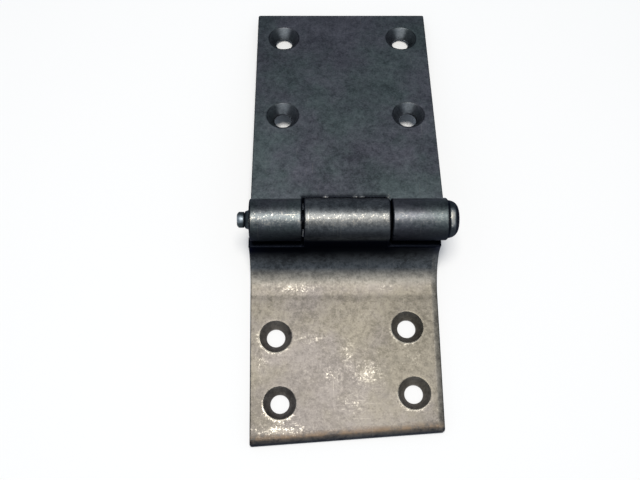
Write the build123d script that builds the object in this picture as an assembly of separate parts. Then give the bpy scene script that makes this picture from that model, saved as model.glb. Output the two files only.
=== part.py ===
from build123d import *
import os
from math import asin, atan, degrees, hypot, radians, sqrt, tan

# A heavy cranked hinge of 6 mm steel plate, in three pieces: an upper leaf
# with two rolled knuckles, a lower leaf that is cranked up to the one knuckle
# between them, and the headed pin that both turn on.
#
# All sizes are in millimetres. The origin is on the lower leaf's flat back
# face, half way along it. +X runs along the pin towards its head, +Y from the
# lower leaf to the upper one, and +Z out of the mounting surface.

# Plate, pin and the rolled knuckles
plate = 6.0
pin_diameter = 10.0
running_clearance = 0.08  # radial, between the pin and the lower leaf's knuckle
seam_gap = 0.5            # where a rolled knuckle comes back to its own plate
knuckle_gap = 1.0         # side play between neighbouring knuckles
knuckle_edge = 0.7        # chamfer round the ends of each knuckle
barrel_length = 101.0
middle_knuckle_length = 44.0
middle_knuckle_offset = -0.9

# Countersunk holes
hole_diameter = 9.8
countersink_angle = 75.0
upper_countersink = 17.3  # across the countersinks at the face
lower_countersink = 16.7
hole_spacing = 70.0

# Upper leaf
upper_width = 101.6       # beside the pin
upper_end_width = 100.6   # at the far end
upper_length = 150.6      # from the pin's axis to the far end
upper_end_margin = 19.1   # from the far end to the outer row of holes
upper_hole_pitch = 59.0
upper_hole_x = 0.4
inner_right_stray = (0.7, 0.4)  # how far that hole is off its place, along X and away from the pin
notch_reach = 17.0        # from the pin's axis to the bottom of the notch
lip_corner_length = 2.5   # cut off the rolled lip's outer corners, along the pin
lip_corner_depth = 1.8    # and back from the lip

# Lower leaf
lower_left = 51.8         # from the pin's middle to the left edge, at the crank
lower_right = 49.0
flat_length = 75.0        # from the foot of the crank to the end, at mid width
crank_height = 40.0       # from the mounting surface to the pin's axis
crank_radius = 20.0       # inside the bend
knuckle_relief = 1.5      # between the crank's top edge and the outer knuckles
left_edge_lean = 0.8      # degrees that the left edge runs inwards
end_lean = 3.75           # degrees that the end is cut out of square
hole_lean = 3.8           # degrees that the four holes lie out of square
lower_hole_pitch = 35.0
hole_group_x = -1.9
hole_group_from_crank = 37.0
side_bevel_width = 3.0
side_bevel_depth = 0.6
end_bevel_width = 2.5
end_bevel_depth = 3.0

# Head and nose of the pin
head_diameter = 18.4
head_height = 5.6
head_rim = 1.2
head_flat_diameter = 9.0
head_rounding = 5.25
nose_diameter = 8.1
nose_length = 3.7
nose_bevel = 0.9
groove_diameter = 7.3
groove_width = 0.8
flare_length = 1.9

# Worked out from the sizes above
pin_radius = pin_diameter / 2
barrel_radius = pin_radius + plate
left_end = -barrel_length / 2
right_end = barrel_length / 2
middle_left = middle_knuckle_offset - middle_knuckle_length / 2
middle_right = middle_knuckle_offset + middle_knuckle_length / 2
crank_foot = flat_length / 2
axis_y = crank_foot + crank_radius + barrel_radius
axis_z = crank_height
crank_top = axis_z - sqrt((barrel_radius + knuckle_relief) ** 2 - pin_radius ** 2)
# The upper leaf slopes down from the pin until its far end meets the mounting surface.
upper_slope = asin(axis_z / hypot(barrel_radius, upper_length)) - atan(barrel_radius / upper_length)


def rectangle_between(low, high):
    """A rectangle given by two opposite corners."""
    centre = Pos((low[0] + high[0]) / 2, (low[1] + high[1]) / 2)
    return centre * Rectangle(high[0] - low[0], high[1] - low[1])


def along_x(section, start, end):
    """The solid that a section in Y and Z makes between two places along X."""
    side = Plane((start, 0, 0), x_dir=(0, 1, 0), z_dir=(1, 0, 0))
    return extrude(side * section, end - start)


def eye_section(bore_radius):
    """A rolled eye round the origin, whose plate leaves towards +Y, level with its underside."""
    seam = rectangle_between((0, -pin_radius), (barrel_radius + 1, seam_gap - pin_radius))
    root = rectangle_between((0, -barrel_radius), (barrel_radius, -pin_radius))
    return Circle(barrel_radius) - seam + root - Circle(bore_radius)


def knuckle(section, start, end):
    """One knuckle, with the sharp outer edge of both its ends taken off."""
    solid = along_x(section, start, end)
    rims = solid.edges().filter_by(GeomType.CIRCLE).filter_by(
        lambda edge: abs(edge.radius - barrel_radius) < 0.01
    )
    return chamfer(rims, knuckle_edge)


def countersunk_hole(countersink):
    """The cutter for one hole, let in from above at the origin."""
    return CounterSinkHole(hole_diameter / 2, countersink / 2, plate * 2, countersink_angle)


def upper_holes():
    """The places of the long leaf's holes, along X and out from the pin."""
    outer = upper_length - upper_end_margin
    inner = outer - upper_hole_pitch
    left = upper_hole_x - hole_spacing / 2
    right = upper_hole_x + hole_spacing / 2
    stray_x, stray_out = inner_right_stray
    return [(left, outer), (right, outer), (left, inner), (right + stray_x, inner + stray_out)]


def lip_corner(end, way):
    """The wedge cut off one outer corner of the rolled lip, above the leaf's face."""
    corner = Polyline(
        (end - way * lip_corner_length, barrel_radius),
        (end + way, barrel_radius - lip_corner_depth * (1 + 1 / lip_corner_length)),
        (end + way, barrel_radius + 1),
        (end - way * lip_corner_length, barrel_radius + 1),
        close=True,
    )
    return Pos(0, 0, -pin_radius) * extrude(make_face(corner), barrel_radius * 2, dir=(0, 0, 1))


def upper_leaf():
    """The long flat leaf and its two outer knuckles, drawn level and then sloped to its rest."""
    front = -pin_radius
    plan = Polyline(
        (-upper_width / 2, 0),
        (-upper_end_width / 2, upper_length),
        (upper_end_width / 2, upper_length),
        (upper_width / 2, 0),
        close=True,
    )
    leaf = Pos(0, 0, front - plate) * extrude(make_face(plan), plate, dir=(0, 0, 1))
    notch_left = middle_left - knuckle_gap
    notch_right = middle_right + knuckle_gap
    leaf -= along_x(
        rectangle_between((-1, front - plate - 1), (notch_reach, front + 1)),
        notch_left,
        notch_right,
    )
    for start, end in ((left_end, notch_left), (notch_right, right_end)):
        leaf += knuckle(eye_section(pin_radius), start, end)
    for end, way in ((left_end, -1), (right_end, 1)):
        leaf -= lip_corner(end, way)
    for x, out in upper_holes():
        leaf -= Pos(x, out, front) * countersunk_hole(upper_countersink)
    return Pos(0, axis_y, axis_z) * Rot(-degrees(upper_slope), 0, 0) * leaf


def cranked_section():
    """The lower leaf's plate from the side: flat, then bent up to the height of the pin."""
    bend = (crank_foot, plate + crank_radius)
    back = crank_radius + plate
    far = -flat_length
    outline = Curve() + [
        Line((far, 0), (crank_foot, 0)),
        CenterArc(bend, back, -90, 90),
        Line((axis_y - pin_radius, bend[1]), (axis_y - pin_radius, axis_z)),
        Line((axis_y - pin_radius, axis_z), (axis_y - barrel_radius, axis_z)),
        Line((axis_y - barrel_radius, axis_z), (axis_y - barrel_radius, bend[1])),
        CenterArc(bend, crank_radius, 0, -90),
        Line((crank_foot, plate), (far, plate)),
        Line((far, plate), (far, 0)),
    ]
    return make_face(outline)


def lower_plan():
    """The lower leaf's outline from above, with its leaning left edge and its skewed end."""
    end_slope = tan(radians(end_lean))
    left_slope = tan(radians(left_edge_lean))
    left_x = -lower_left + left_slope * flat_length
    outline = Polyline(
        (-lower_left, axis_y),
        (-lower_left, crank_foot),
        (left_x, end_slope * left_x - flat_length / 2),
        (lower_right, end_slope * lower_right - flat_length / 2),
        (lower_right, axis_y),
        close=True,
    )
    return make_face(outline)


def bevelled(leaf):
    """Bevels the front face's end edge, and its right edge on up the crank."""
    for way, width, depth in (
        (-Axis.Y, end_bevel_width, end_bevel_depth),
        (Axis.X, side_bevel_width, side_bevel_depth),
    ):
        front = leaf.faces().filter_by(Axis.Z).sort_by(
            lambda face: abs(face.center().Z - plate)
        )[0]
        edge = front.edges().sort_by(way)[-1]
        leaf = chamfer(edge, width, depth, reference=front)
    return leaf


def lower_leaf():
    """The cranked leaf and its one knuckle, rolled over the pin from its raised edge."""
    leaf = along_x(cranked_section(), -lower_left, lower_right) & extrude(lower_plan(), axis_z)
    leaf = bevelled(leaf)
    for start, end in ((-lower_left - 1, middle_left), (middle_right, lower_right + 1)):
        leaf -= along_x(rectangle_between((0, crank_top), (axis_y, axis_z + 1)), start, end)
    eye = Pos(axis_y, axis_z) * Rot(0, 0, -90) * eye_section(pin_radius + running_clearance)
    leaf += knuckle(eye, middle_left, middle_right)
    leaf -= Pos(0, axis_y, axis_z) * Rot(0, 90, 0) * Cylinder(pin_radius + running_clearance, barrel_length)
    group = Pos(hole_group_x, crank_foot - hole_group_from_crank, plate) * Rot(0, 0, hole_lean)
    for along in (-1, 1):
        for side in (-1, 1):
            place = group * Pos(side * hole_spacing / 2, along * lower_hole_pitch / 2, 0)
            leaf -= place * countersunk_hole(lower_countersink)
    return leaf


def hinge_pin():
    """The pin in one turned piece: domed head, plain shank, flare, groove and nose."""
    flare_end = left_end - flare_length
    groove_end = flare_end - groove_width
    tip = groove_end - nose_length
    nose_radius = nose_diameter / 2
    groove_radius = groove_diameter / 2
    rim_end = right_end + head_rim
    head_end = right_end + head_height
    outline = Curve() + [
        Polyline(
            (tip, 0),
            (tip, nose_radius - nose_bevel),
            (tip + nose_bevel, nose_radius),
            (groove_end, nose_radius),
            (groove_end, groove_radius),
            (flare_end, groove_radius),
        ),
        RadiusArc((flare_end, groove_radius), (left_end, pin_radius), flare_length * 1.6),
        Polyline(
            (left_end, pin_radius),
            (right_end, pin_radius),
            (right_end, head_diameter / 2),
            (rim_end, head_diameter / 2),
        ),
        RadiusArc((rim_end, head_diameter / 2), (head_end, head_flat_diameter / 2), head_rounding),
        Polyline((head_end, head_flat_diameter / 2), (head_end, 0), (tip, 0)),
    ]
    return Pos(0, axis_y, axis_z) * revolve(make_face(outline), Axis.X)


def main():
    os.makedirs("parts", exist_ok=True)
    pieces = {
        "upper_leaf": upper_leaf(),
        "lower_leaf": lower_leaf(),
        "hinge_pin": hinge_pin(),
    }
    for name, solid in pieces.items():
        export_step(solid, f"parts/{name}.step")


main()
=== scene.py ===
from math import asin, atan2, ceil, cos, hypot, pi, radians, sin, sqrt, tan
from types import SimpleNamespace

import bmesh
import bpy
import numpy as np
from bpy.props import FloatProperty, FloatVectorProperty, IntProperty, PointerProperty
from mathutils import Matrix, Vector, noise
from mathutils.geometry import delaunay_2d_cdt


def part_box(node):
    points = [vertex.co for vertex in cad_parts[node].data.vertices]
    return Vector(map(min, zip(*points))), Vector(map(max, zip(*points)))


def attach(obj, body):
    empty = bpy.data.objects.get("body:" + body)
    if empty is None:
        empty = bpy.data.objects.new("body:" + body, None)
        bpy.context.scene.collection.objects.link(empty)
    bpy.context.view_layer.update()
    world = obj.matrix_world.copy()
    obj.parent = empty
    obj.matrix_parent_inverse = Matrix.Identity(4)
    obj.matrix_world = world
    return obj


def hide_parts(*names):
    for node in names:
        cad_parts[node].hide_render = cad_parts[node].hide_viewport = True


bl_info = {
    "name": "Cranked hinge",
    "version": (1, 0, 0),
    "blender": (4, 5, 0),
    "location": "3D View > Sidebar > Hinge",
    "description": "A heavy cranked hinge of rolled steel plate with its pin, on a pale floor",
    "category": "Object",
}

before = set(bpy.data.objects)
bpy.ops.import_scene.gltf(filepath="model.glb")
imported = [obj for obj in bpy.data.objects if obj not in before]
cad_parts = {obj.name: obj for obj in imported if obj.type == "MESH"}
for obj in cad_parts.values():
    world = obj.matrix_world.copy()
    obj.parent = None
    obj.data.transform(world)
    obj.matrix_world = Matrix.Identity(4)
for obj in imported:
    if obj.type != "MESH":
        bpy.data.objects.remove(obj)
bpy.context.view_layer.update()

# The frame gives the pin's axis and how far the leaves reach, here in millimetres.
MM = 0.001
pin_low, pin_high = (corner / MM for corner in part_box("hinge_pin"))
_, upper_high = (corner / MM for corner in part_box("upper_leaf"))
lower_low, lower_high = (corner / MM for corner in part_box("lower_leaf"))
AXIS_Y = (pin_low.y + pin_high.y) / 2
AXIS_Z = (pin_low.z + pin_high.z) / 2

# Fine sizes in millimetres, and angles, that the panel leaves out.
UPPER_HOLES_X = 0.4  # how far the long leaf's holes stand to the right
STRAY_HOLE = (0.7, 0.4)  # its inner right hole is off its place, along X and away from the pin
LOWER_HOLES_X = -1.9  # middle of the cranked leaf's holes
LOWER_HOLES_BACK = 37.0  # from the foot of the bend to that middle
LOWER_HALF_PITCH = 17.5
HOLE_LEAN = radians(3.8)  # the cranked leaf's holes lie out of square
END_SKEW = tan(radians(3.75))  # and so does its end
LEFT_LEAN = tan(radians(0.8))  # its left edge runs inwards
HALF_COUNTERSINK = radians(37.5)
LIP_CORNER = (2.5, 1.8)  # cut off the rolled lip's outer corners, along the pin and back
GROOVE_RADIUS = 3.65
FLARE = (4.4, 5.25)  # radius of the pin's flare at its start and at the knuckle
HEAD_RIM = 1.2  # height of the straight part of the pin's head
HEAD_ROUNDING = 5.25
HOLE_MARGIN = 1.0  # flat ring round a hole that belongs to its wall
FACE_MARGIN = 0.9  # flat strip along a plate's edge that belongs to the edge's rings
COLUMNS = 56  # grid columns across a leaf's faces
OUTLINE_STEP = 1.8  # between points along an edge that crosses the leaf
FLOOR_REACH = 4000
FLOOR_DROP = 0.3  # below the mounting surface


def length(name, description, default):
    """A size that a user may change, given in millimetres and kept in metres."""
    return FloatProperty(
        name=name, description=description, default=default * MM, unit="LENGTH", precision=5
    )


def swatch(name, description, *default):
    """A colour that a user may change."""
    return FloatVectorProperty(name=name, description=description, default=default, subtype="COLOR")


def number(name, description, default, least=0.0):
    """A plain number that a user may change."""
    return FloatProperty(name=name, description=description, default=default, min=least)


def angle(name, description, default):
    """An angle that a user may change, given in degrees and kept in radians."""
    return FloatProperty(name=name, description=description, default=radians(default), subtype="ANGLE")


class HingeSizes(bpy.types.PropertyGroup):
    """The sizes of the plates, the barrel and the pin."""

    plate: length("Plate", "Thickness of both leaves", 6.0)
    pin_radius: length("Pin radius", "Radius of the pin's shank", 5.0)
    seam_gap: length("Seam gap", "Where a rolled knuckle comes back to its plate", 0.5)
    barrel_length: length("Barrel length", "Over the three knuckles and their gaps", 101.0)
    middle_start: length("Middle knuckle start", "Left end of the middle knuckle", -22.9)
    middle_end: length("Middle knuckle end", "Right end of the middle knuckle", 21.1)
    knuckle_gap: length("Knuckle gap", "Side play between neighbouring knuckles", 0.65)
    notch_reach: length("Notch reach", "From the pin's axis to the bottom of the notch", 17.0)
    upper_length: length("Upper leaf length", "From the pin's axis to the far end", 150.6)
    upper_width: length("Upper leaf width", "Across the long leaf, beside the pin", 101.6)
    upper_end_width: length("Upper end width", "Across the long leaf's far end", 100.6)
    outer_row: length("Outer holes", "From the pin's axis to the outer holes of the upper leaf", 131.5)
    inner_row: length("Inner holes", "From the pin's axis to the inner holes of the upper leaf", 72.5)
    hole_spacing: length("Hole spacing", "Between the two holes of a row", 70.0)
    hole_radius: length("Hole radius", "Radius of the screw holes", 4.9)
    upper_countersink: length("Upper countersinks", "Radius of the upper leaf's countersinks", 8.65)
    lower_countersink: length("Lower countersinks", "Radius of the lower leaf's countersinks", 8.35)
    crank_radius: length("Crank radius", "Inside the lower leaf's bend", 20.0)
    shoulder: length("Shoulder", "From the end of the bend to the crank's top edge", 2.54)
    softening: length("Softening", "How far the plates' edges are rounded", 0.45)
    head_radius: length("Head radius", "Radius of the pin's domed head", 9.8)
    head_flat: length("Head flat", "Radius of the flat on top of the head", 5.1)
    head_height: length("Head height", "From the last knuckle to the top of the head", 5.6)
    nose_radius: length("Nose radius", "Radius of the pin's far end", 4.15)
    nose_length: length("Nose length", "From the groove to the pin's tip", 3.7)
    ring_points: IntProperty(
        name="Ring points", description="Points round each hole and the pin", default=56, min=8
    )


class HingeFinish(bpy.types.PropertyGroup):
    """The colours of the steel and how rough it is."""

    upper_scale: swatch("Upper mill scale", "Dark oxide skin of the long leaf", 0.119, 0.132, 0.145)
    lower_scale: swatch("Lower mill scale", "Thinner, browner skin of the other leaf", 0.164, 0.154, 0.137)
    pin_scale: swatch("Pin skin", "Skin of the pin's head and nose", 0.125, 0.145, 0.165)
    # Bare steel also colours the painted highlights and glints.
    bare_colour: swatch("Bare steel", "Rubbed and cut places", 0.36, 0.34, 0.30)
    # The dark colour is used both for thick scale and dirt and for painted shade.
    soot_and_shade_colour: swatch("Dark scale", "Thick scale, dirt and old oil", 0.006, 0.0075, 0.012)
    rust_colour: swatch("Rust", "Thin rust near the cut end", 0.27, 0.175, 0.095)
    roughness: FloatProperty(
        name="Roughness", description="Of the mill scale", default=0.50, min=0.0, max=1.0, subtype="FACTOR"
    )


class HingeStage(bpy.types.PropertyGroup):
    """The camera and the light."""

    camera_place: FloatVectorProperty(
        name="Camera place",
        description="Where the camera stands",
        default=(-0.0207, -0.08365, 0.4337),
        subtype="XYZ",
    )
    camera_pitch: angle("Camera pitch", "Up from straight down", 19.71)
    camera_yaw: angle("Camera yaw", "Turned to the right", 0.83)
    camera_roll: angle("Camera roll", "Turned about its view", -0.23)
    lens: number("Lens", "Focal length on a 36 mm sensor", 46.41, 1.0)
    key_power: number("Key power", "Power of the lamp overhead", 9.2)
    key_size: length("Key size", "Width of the lamp overhead", 280.0)
    room_level: number("Room level", "Brightness of the room", 0.33)


def sizes_in_mm():
    """The sizes as plain numbers, with lengths in millimetres."""
    sizes = bpy.context.scene.hinge_sizes
    values = {key: getattr(sizes, key) for key in HingeSizes.__annotations__}
    return SimpleNamespace(**{key: v / MM if isinstance(v, float) else v for key, v in values.items()})


# Plates

class PlatePath:
    """A bent plate seen from the side, followed along its front face in Y and Z."""

    def __init__(self, point, direction, front):
        self.point = np.array(point, float)
        self.direction = np.array(direction, float)
        self.front = np.array(front, float)
        self.sense = np.sign(direction[0] * front[1] - direction[1] * front[0])
        self.end = 0.0
        self.spans = []

    def span(self, distance, arc=None):
        self.spans.append((self.end, distance, arc, self.point, self.direction, self.front))
        self.end += distance

    def run(self, distance):
        """A straight run."""
        self.span(distance)
        self.point = self.point + self.direction * distance
        return self.end

    def bend(self, radius, turn, toward, distance, seam=None):
        """A bend, toward the front face or away. With a seam, it rolls on until it meets the plate."""
        centre = self.point + toward * radius * self.front
        self.span(distance, (radius, turn, toward, centre, seam))
        turn *= self.sense * toward
        turned = np.array([[cos(turn), -sin(turn)], [sin(turn), cos(turn)]])
        self.point = centre - toward * radius * (turned @ self.front)
        self.direction = turned @ self.direction
        self.front = turned @ self.front
        return self.end

    def roll(self, size, toward):
        """An eye, rolled round the pin until it comes back to its own plate."""
        radius = size.pin_radius if toward > 0 else size.pin_radius + size.plate
        distance = (size.pin_radius + size.plate / 2) * radians(315)
        return self.bend(radius, radians(270), toward, distance, size.pin_radius - size.seam_gap)

    def place(self, flat, depth):
        """Where points of the flat plate come to lie, and which way the front faces there."""
        x, s = flat.T
        places = np.zeros((len(x), 3))
        fronts = np.zeros((len(x), 3))
        places[:, 0] = x
        for index, (begin, distance, arc, point, direction, front) in enumerate(self.spans):
            inside = s >= begin - 1e-9 if index else np.full(len(s), True)
            if index + 1 < len(self.spans):
                inside &= s < begin + distance - 1e-9
            here, low = s[inside] - begin, depth[inside]
            if arc is None:
                side = point + np.outer(here, direction) - np.outer(low, front)
                facing = np.tile(front, (len(here), 1))
            else:
                radius, whole, toward, centre, seam = arc
                reach = radius + toward * low
                if seam is not None:
                    whole = whole + np.arcsin(np.clip(seam / reach, -1, 1))
                turn = self.sense * toward * here / distance * whole
                across = np.cos(turn) * front[0] - np.sin(turn) * front[1]
                up = np.sin(turn) * front[0] + np.cos(turn) * front[1]
                facing = np.stack((across, up), axis=1)
                side = centre - toward * reach[:, None] * facing
            places[inside, 1:] = side
            fronts[inside, 1:] = facing
        return places, fronts


def rounded(start, corner, end, t):
    """The point at share t of the curve that rounds a corner."""
    return (1 - t) ** 2 * start + 2 * t * (1 - t) * corner + t * t * end


def edge_profile(size, front_bevel, back_bevel, softening=None):
    """Inset and depth of each ring round a plate's edge, from the front face to the back face."""
    plate, softening = size.plate, softening or size.softening
    corners = np.array(
        [
            (front_bevel[0] + FACE_MARGIN, 0),
            (front_bevel[0], 0),
            (0, front_bevel[1]),
            (0, plate - back_bevel[1]),
            (back_bevel[0], plate),
            (back_bevel[0] + FACE_MARGIN, plate),
        ]
    )
    rings = [corners[0]]
    for before, corner, after in zip(corners, corners[1:], corners[2:]):
        start, end = (
            corner + (other - corner) * min(0.48, softening / max(hypot(*(other - corner)), 1e-6))
            for other in (before, after)
        )
        rings += [rounded(start, corner, end, t) for t in (0, 0.35, 0.65, 1)]
    rings.append(corners[-1])
    return np.array(rings)


class Outline:
    """A plate's outline when laid flat: corners with their rounding, and a profile for each edge."""

    def __init__(self, corners, profiles, lines):
        corners = np.array(corners, float)
        self.corners, self.rounding = corners[:, :2], corners[:, 2]
        self.nexts = np.roll(self.corners, -1, axis=0)
        self.profiles = profiles
        self.shares = []
        for a, b in zip(self.corners, self.nexts):
            if abs(b[1] - a[1]) > abs(b[0] - a[0]):
                cuts = (lines - a[1]) / (b[1] - a[1])
                self.shares.append(np.sort(cuts[(cuts > 0.002) & (cuts < 0.998)]))
            else:
                count = max(1, ceil(abs(b[0] - a[0]) / OUTLINE_STEP))
                self.shares.append(np.arange(1, count) / count)

    def ring(self, index):
        """The outline set in as far as ring number index of the edges' profiles, and its depths."""
        count = len(self.corners)
        along = self.nexts - self.corners
        along /= np.linalg.norm(along, axis=1)[:, None]
        inward = np.stack((-along[:, 1], along[:, 0]), axis=1)
        insets = [profile[index][0] for profile in self.profiles]
        meets, starts, ends = [], [], []
        for i in range(count):
            h = i - 1
            turn = along[h][0] * along[i][1] - along[h][1] * along[i][0]
            if abs(turn) > 0.02:
                shift = np.linalg.solve(np.array([inward[h], inward[i]]), [insets[h], insets[i]])
            else:
                shift = (inward[h] + inward[i]) / 2 * (insets[h] + insets[i]) / 2
            meet = self.corners[i] + shift
            inset = (insets[h] + insets[i]) / 2
            radius = max(self.rounding[i] - inset, 0.01) if turn > 0 else self.rounding[i] + inset
            bent = abs(atan2(turn, float(np.dot(along[h], along[i]))))
            reach = min(radius * tan(bent / 2), 3.0)
            meets.append(meet)
            starts.append(meet - along[h] * reach)
            ends.append(meet + along[i] * reach)
        points, depths = [], []
        for i in range(count):
            for t in (0, 0.25, 0.5, 0.75, 1):
                points.append(rounded(starts[i], meets[i], ends[i], t))
                depths.append((1 - t) * self.profiles[i - 1][index][1] + t * self.profiles[i][index][1])
            last = starts[(i + 1) % count]
            for share in self.shares[i]:
                target = self.corners[i] + (self.nexts[i] - self.corners[i]) * share
                total = float(np.dot(last - ends[i], along[i]))
                t = min(max(float(np.dot(target - ends[i], along[i])) / total, 0.002), 0.998)
                points.append(ends[i] + (last - ends[i]) * t)
                depths.append(self.profiles[i][index][1])
        return np.array(points), np.array(depths)

    def apart(self, flat):
        """How far points of the flat plate are from its outline."""
        nearest = np.full(len(flat), 1e9)
        for a, b in zip(self.corners, self.nexts):
            along = b - a
            t = np.clip(((flat - a) @ along) / (along @ along), 0, 1)
            nearest = np.minimum(nearest, np.linalg.norm(flat - a - t[:, None] * along, axis=1))
        return nearest


def inside_loop(points, loop):
    """Which points lie inside a closed loop."""
    x, y = points[:, 0][:, None], points[:, 1][:, None]
    x1, y1 = loop[:, 0][None], loop[:, 1][None]
    x2, y2 = np.roll(loop[:, 0], -1)[None], np.roll(loop[:, 1], -1)[None]
    crosses = (y1 > y) != (y2 > y)
    with np.errstate(divide="ignore", invalid="ignore"):
        at = x1 + (y - y1) * (x2 - x1) / (y2 - y1)
    return (crosses & (x < at)).sum(axis=1) % 2 == 1


def fill(loop, holes, columns, lines):
    """Triangles that fill a loop round its holes, with points on a grid of columns and lines."""
    grid = np.array([(x, s) for s in lines for x in columns])
    grid = grid[inside_loop(grid, loop)]
    for rim in [loop, *holes]:
        near = np.min(np.linalg.norm(grid[:, None] - rim[None], axis=2), axis=1)
        grid = grid[near > 0.55]
    for rim in holes:
        grid = grid[~inside_loop(grid, rim)]
    points, edges = [], []
    for rim in [loop, *holes]:
        first = len(points)
        points += [Vector(p) for p in rim]
        edges += [(first + i, first + (i + 1) % len(rim)) for i in range(len(rim))]
    points += [Vector(p) for p in grid]
    verts, _, faces, *_ = delaunay_2d_cdt(points, edges, [], 0, 1e-5)
    verts = np.array([(v.x, v.y) for v in verts])
    faces = np.array([face for face in faces if len(face) == 3])
    centres = verts[faces].mean(axis=1)
    one, two = verts[faces[:, 1]] - verts[faces[:, 0]], verts[faces[:, 2]] - verts[faces[:, 0]]
    keep = inside_loop(centres, loop) & (np.abs(one[:, 0] * two[:, 1] - one[:, 1] * two[:, 0]) > 2e-3)
    for rim in holes:
        keep &= ~inside_loop(centres, rim)
    return verts, faces[keep]


def circle(centre, radius, points, way):
    """A circle on the flat plate; way is -1 where the plate's length runs against the view."""
    turns = np.arange(points) * 2 * pi / points
    return np.stack((centre[0] + radius * np.cos(turns), centre[1] + way * radius * np.sin(turns)), axis=1)


def flat_plate(outline, lines, holes, rims, ring_points, way):
    """A flat plate's points, their depths and its faces. Its holes are left open for their walls."""
    rings = [outline.ring(k) for k in range(len(outline.profiles[0]))]
    verts, depths = ([ring[part] for ring in rings] for part in (0, 1))
    around = len(verts[0])
    faces = []
    for k in range(len(rings) - 1):
        for i in range(around):
            j = (i + 1) % around
            faces.append(tuple(k * around + at for at in (i, around + i, around + j, j)))
    across = outline.corners[:, 0]
    columns = np.linspace(across.min() - 1, across.max() + 1, COLUMNS)
    for (loop, depth), rim in ((rings[0], rims[0]), (rings[-1], rims[1])):
        loops = [circle(hole, rim, ring_points, way) for hole in holes]
        points, triangles = fill(loop, loops, columns, lines)
        first = sum(len(part) for part in verts)
        verts.append(points)
        depths.append(np.full(len(points), depth[0]))
        faces += [tuple(first + i for i in face) for face in triangles]
    return np.concatenate(verts), np.concatenate(depths), faces


def spans_of(limits):
    """Lines along a plate: each limit is where a stretch ends and how far apart its lines are."""
    lines = [limits[0][0]]
    for (start, _), (end, gap) in zip(limits, limits[1:]):
        count = max(1, round((end - start) / gap))
        lines += [start + (end - start) * i / count for i in range(1, count + 1)]
    return np.array(lines)


def smooth(values, low, high):
    """0 below low, 1 above high, and smooth between."""
    t = np.clip((values - low) / (high - low), 0, 1)
    return t * t * (3 - 2 * t)


def fading(values, low, high):
    """1 below low, 0 above high, and smooth between."""
    return 1 - smooth(values, low, high)


def band(values, start, full, leaving, gone):
    """Rises from 0 to 1 between start and full, and falls back between leaving and gone."""
    return smooth(values, start, full) * fading(values, leaving, gone)


def swells(points, size, seed, height):
    """Smooth uneven heights from 0 to twice a height, with bumps about as large as size."""
    shift = Vector((seed * 17.3, seed * 5.1, seed * 9.7))
    return (np.array([noise.noise(Vector(p) / size + shift) for p in points]) + 1) * height


def read_layer(mesh, key):
    """A layer's value for each point of a mesh."""
    values = np.zeros(len(mesh.vertices), np.float32)
    mesh.attributes[key].data.foreach_get("value", values)
    return values


def write_layer(mesh, key, values):
    """Keeps one value for each point of a mesh, for its material to read."""
    layer = mesh.attributes.get(key) or mesh.attributes.new(key, "FLOAT", "POINT")
    layer.data.foreach_set("value", np.asarray(values, np.float32))


def mesh_object(name, points, faces=(), uvs=None, layers=None):
    """A mesh in metres from points in millimetres, with its laid-flat places and its layers."""
    mesh = bpy.data.meshes.new(name)
    mesh.from_pydata([tuple(p) for p in np.asarray(points) * MM], [], faces)
    if uvs is not None:
        flat = mesh.uv_layers.new(name="flat")
        corner = np.zeros(len(mesh.loops), int)
        mesh.loops.foreach_get("vertex_index", corner)
        flat.data.foreach_set("uv", (np.asarray(uvs)[corner] * MM).astype(np.float32).ravel())
    for key, values in (layers or {}).items():
        write_layer(mesh, key, values)
    made = bpy.data.objects.new(name, mesh)
    bpy.context.scene.collection.objects.link(made)
    return made


def points_of(made):
    """The points of a mesh in millimetres."""
    points = np.zeros(len(made.data.vertices) * 3)
    made.data.vertices.foreach_get("co", points)
    return points.reshape(-1, 3) / MM


def finish_mesh(made):
    """Joins points that coincide, turns the faces outwards and shades them smoothly."""
    work = bmesh.new()
    work.from_mesh(made.data)
    bmesh.ops.remove_doubles(work, verts=work.verts, dist=2e-6)
    bmesh.ops.dissolve_degenerate(work, edges=work.edges, dist=1e-6)
    bmesh.ops.recalc_face_normals(work, faces=work.faces)
    for face in work.faces:
        face.smooth = True
    work.to_mesh(made.data)
    work.free()


# Node trees

def math_operator(name, swapped=False):
    """One of a Number's operators, which adds a Math node."""
    return lambda self, other: self.nodes.math(name, *((other, self) if swapped else (self, other)))


class Number:
    """A value in a node tree, so that values are written as sums and products."""

    def __init__(self, nodes, socket):
        self.nodes = nodes
        self.socket = socket

    def output(self, key):
        """Another output of the node that this value comes from."""
        return Number(self.nodes, self.socket.node.outputs[key])

    __add__, __radd__ = math_operator("ADD"), math_operator("ADD", True)
    __sub__, __rsub__ = math_operator("SUBTRACT"), math_operator("SUBTRACT", True)
    __mul__, __rmul__ = math_operator("MULTIPLY"), math_operator("MULTIPLY", True)
    __truediv__, __pow__ = math_operator("DIVIDE"), math_operator("POWER")


class Nodes:
    """Adds nodes to a tree, each with its settings and the values or links of its sockets."""

    def __init__(self, tree):
        self.tree = tree

    def node(self, kind, settings=None, inputs=None, output=0):
        made = self.tree.nodes.new(kind)
        for key, value in (settings or {}).items():
            setattr(made, key, value)
        for key, value in (inputs or {}).items():
            if isinstance(value, Number):
                self.tree.links.new(value.socket, made.inputs[key])
            else:
                made.inputs[key].default_value = value
        return Number(self, made.outputs[output]) if len(made.outputs) else None

    def math(self, operation, *values, clamp=False):
        settings = {"operation": operation, "use_clamp": clamp}
        return self.node("ShaderNodeMath", settings, dict(enumerate(values)))


def new_tree(name, **inputs):
    """A geometry node tree with named inputs: the builder for its nodes, and its group input."""
    tree = bpy.data.node_groups.new(name, "GeometryNodeTree")
    for label, kind in {**inputs, "Profile points": "Int", "Ring points": "Int"}.items():
        tree.interface.new_socket(label, in_out="INPUT", socket_type=f"NodeSocket{kind}")
    tree.interface.new_socket("Geometry", in_out="OUTPUT", socket_type="NodeSocketGeometry")
    build = Nodes(tree)
    return build, build.node("NodeGroupInput")


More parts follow.
